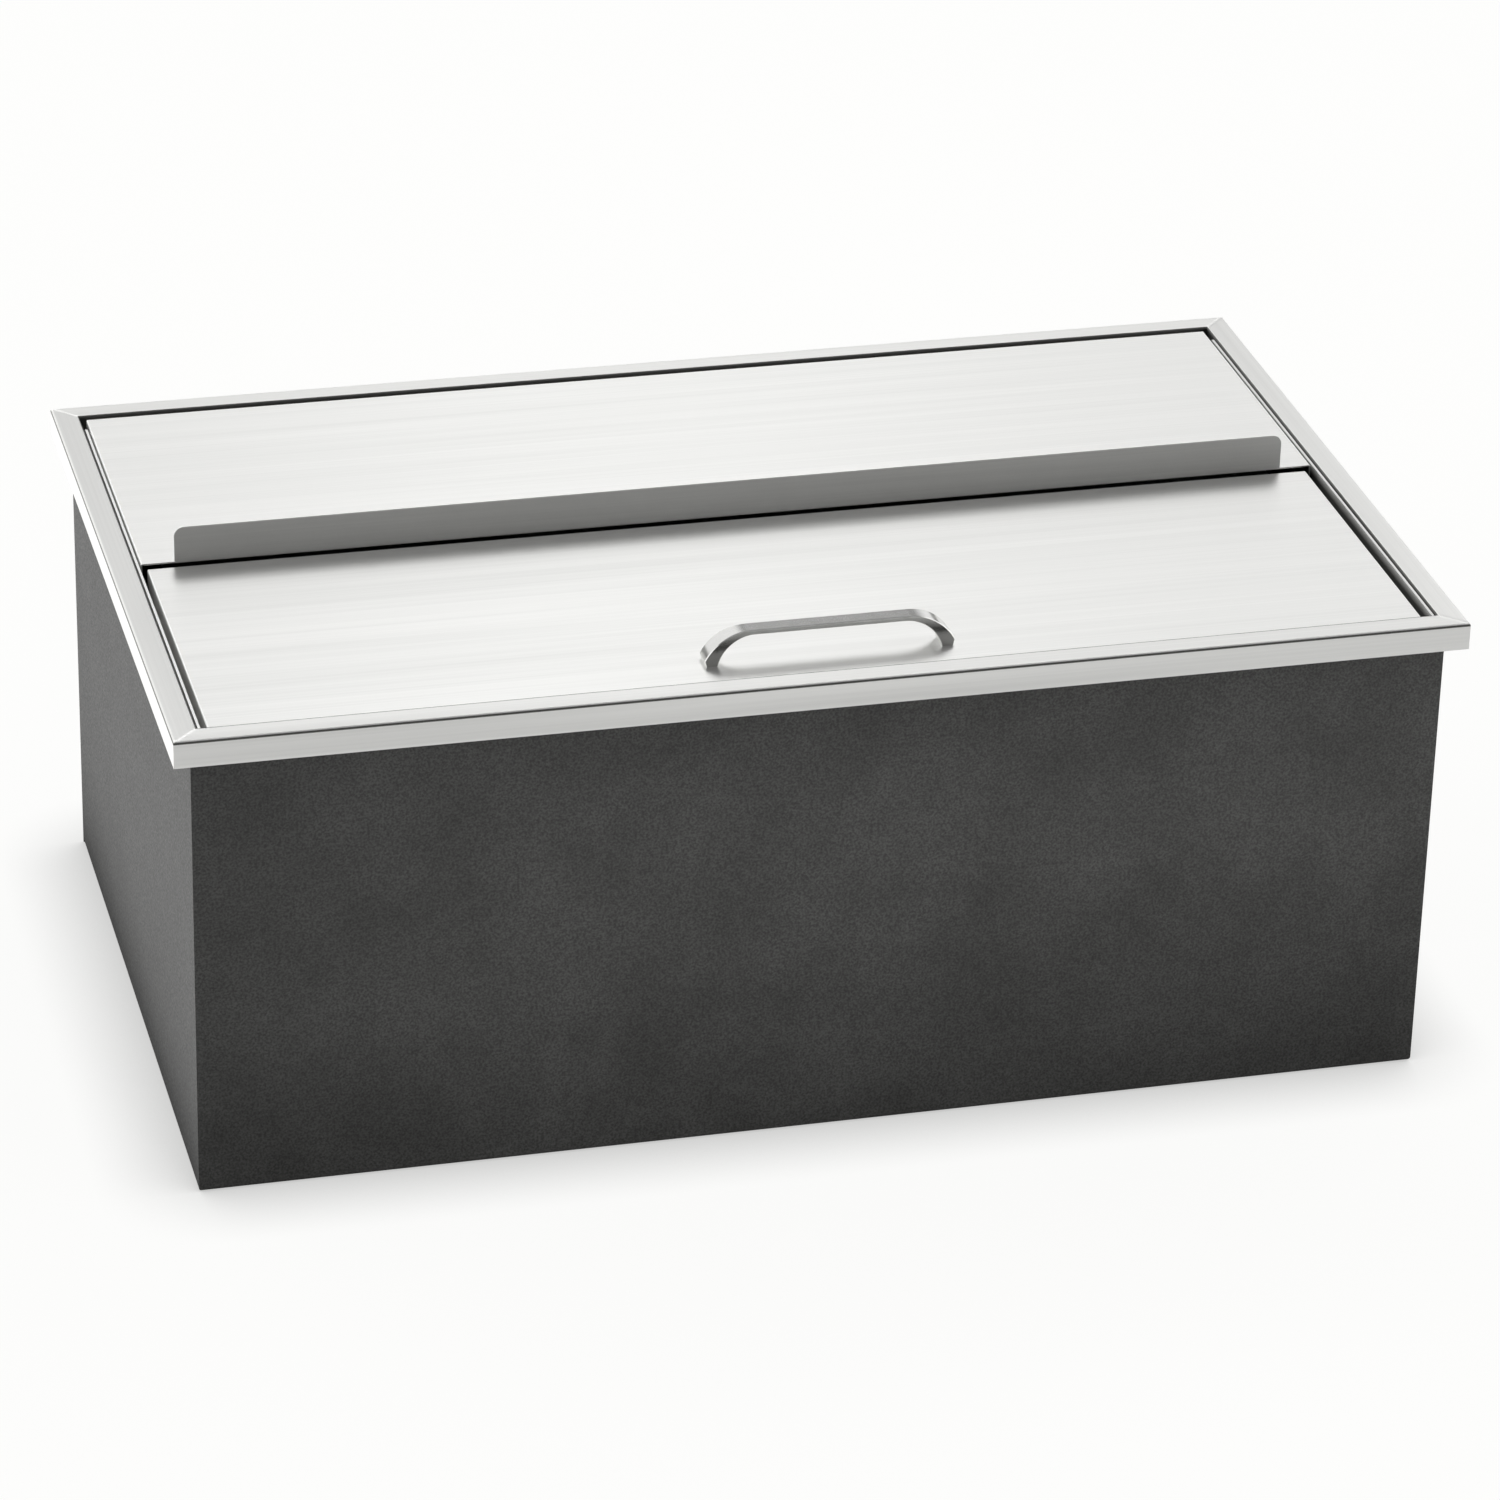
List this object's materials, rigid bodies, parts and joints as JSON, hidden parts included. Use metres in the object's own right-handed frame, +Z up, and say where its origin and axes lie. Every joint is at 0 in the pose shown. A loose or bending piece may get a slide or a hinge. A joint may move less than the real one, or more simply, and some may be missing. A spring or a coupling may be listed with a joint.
{
  "type": "drop-in ice bin",
  "caption": "Insulated drop-in ice bin for a counter, with a flat rim, a tub drained through its base, a handled cover that slides back and a lipped cover that lifts off.",
  "frame": {"origin": "on the resting plane under the base, under the middle of the rim", "axes": "+X to the right seen from the handle's side, +Y to the back, +Z up"},
  "size_m": [0.762, 0.465, 0.3195],
  "materials": {
    "brushed_stainless": "satin brushed, grain along the long side",
    "tub_stainless": "fine satin with ground welds",
    "satin_handle_steel": "satin, with bright highlights",
    "textured_casing": "charcoal powder coat, fine leather texture",
    "foam_board": "rigid foam, matt",
    "foam_strip": "closed-cell foam, matt black",
    "black_rubber": "matt moulded rubber",
    "white_glide_plastic": "waxy white",
    "drain_brass": "turned",
    "zinc_screws": "zinc plated",
    "galvanised_sheet": "dull zinc with faint spangle"
  },
  "bodies": {
    "bin": {"rim_frame": "brushed_stainless", "inner_liner": "tub_stainless", "left_rear_guide": "brushed_stainless", "right_rear_guide": "brushed_stainless", "counter_gasket": "foam_strip", "front_insulation": "foam_board", "rear_insulation": "foam_board", "left_insulation": "foam_board", "right_insulation": "foam_board", "base_insulation": "foam_board", "casing_wrap": "textured_casing", "casing_back_panel": "textured_casing", "casing_rivets": "zinc_screws", "base_panel": "galvanised_sheet", "base_screws": "zinc_screws", "drain_body": "satin_handle_steel", "drain_flange_gasket": "black_rubber", "drain_under_washer": "black_rubber", "drain_locknut": "drain_brass"},
    "front_cover_body": {"front_cover": "brushed_stainless", "front_cover_left_glide": "white_glide_plastic", "front_cover_right_glide": "white_glide_plastic", "pull_handle": "satin_handle_steel", "handle_screws": "zinc_screws", "handle_washers": "zinc_screws"},
    "rear_cover_body": {"rear_cover": "brushed_stainless"},
    "strainer_body": {"drain_strainer": "satin_handle_steel"}
  },
  "joints": [
    {"name": "front_cover_slide", "type": "slide", "parent": "bin", "child": "front_cover_body", "axis": [0, 1, 0], "range_m": [0, 0.1816]},
    {"name": "rear_cover_lift", "type": "slide", "parent": "bin", "child": "rear_cover_body", "axis": [0, 0, 1], "range_m": [0, 0.09]},
    {"name": "strainer_lift", "type": "slide", "parent": "bin", "child": "strainer_body", "axis": [0, 0, 1], "range_m": [0, 0.06]}
  ]
}
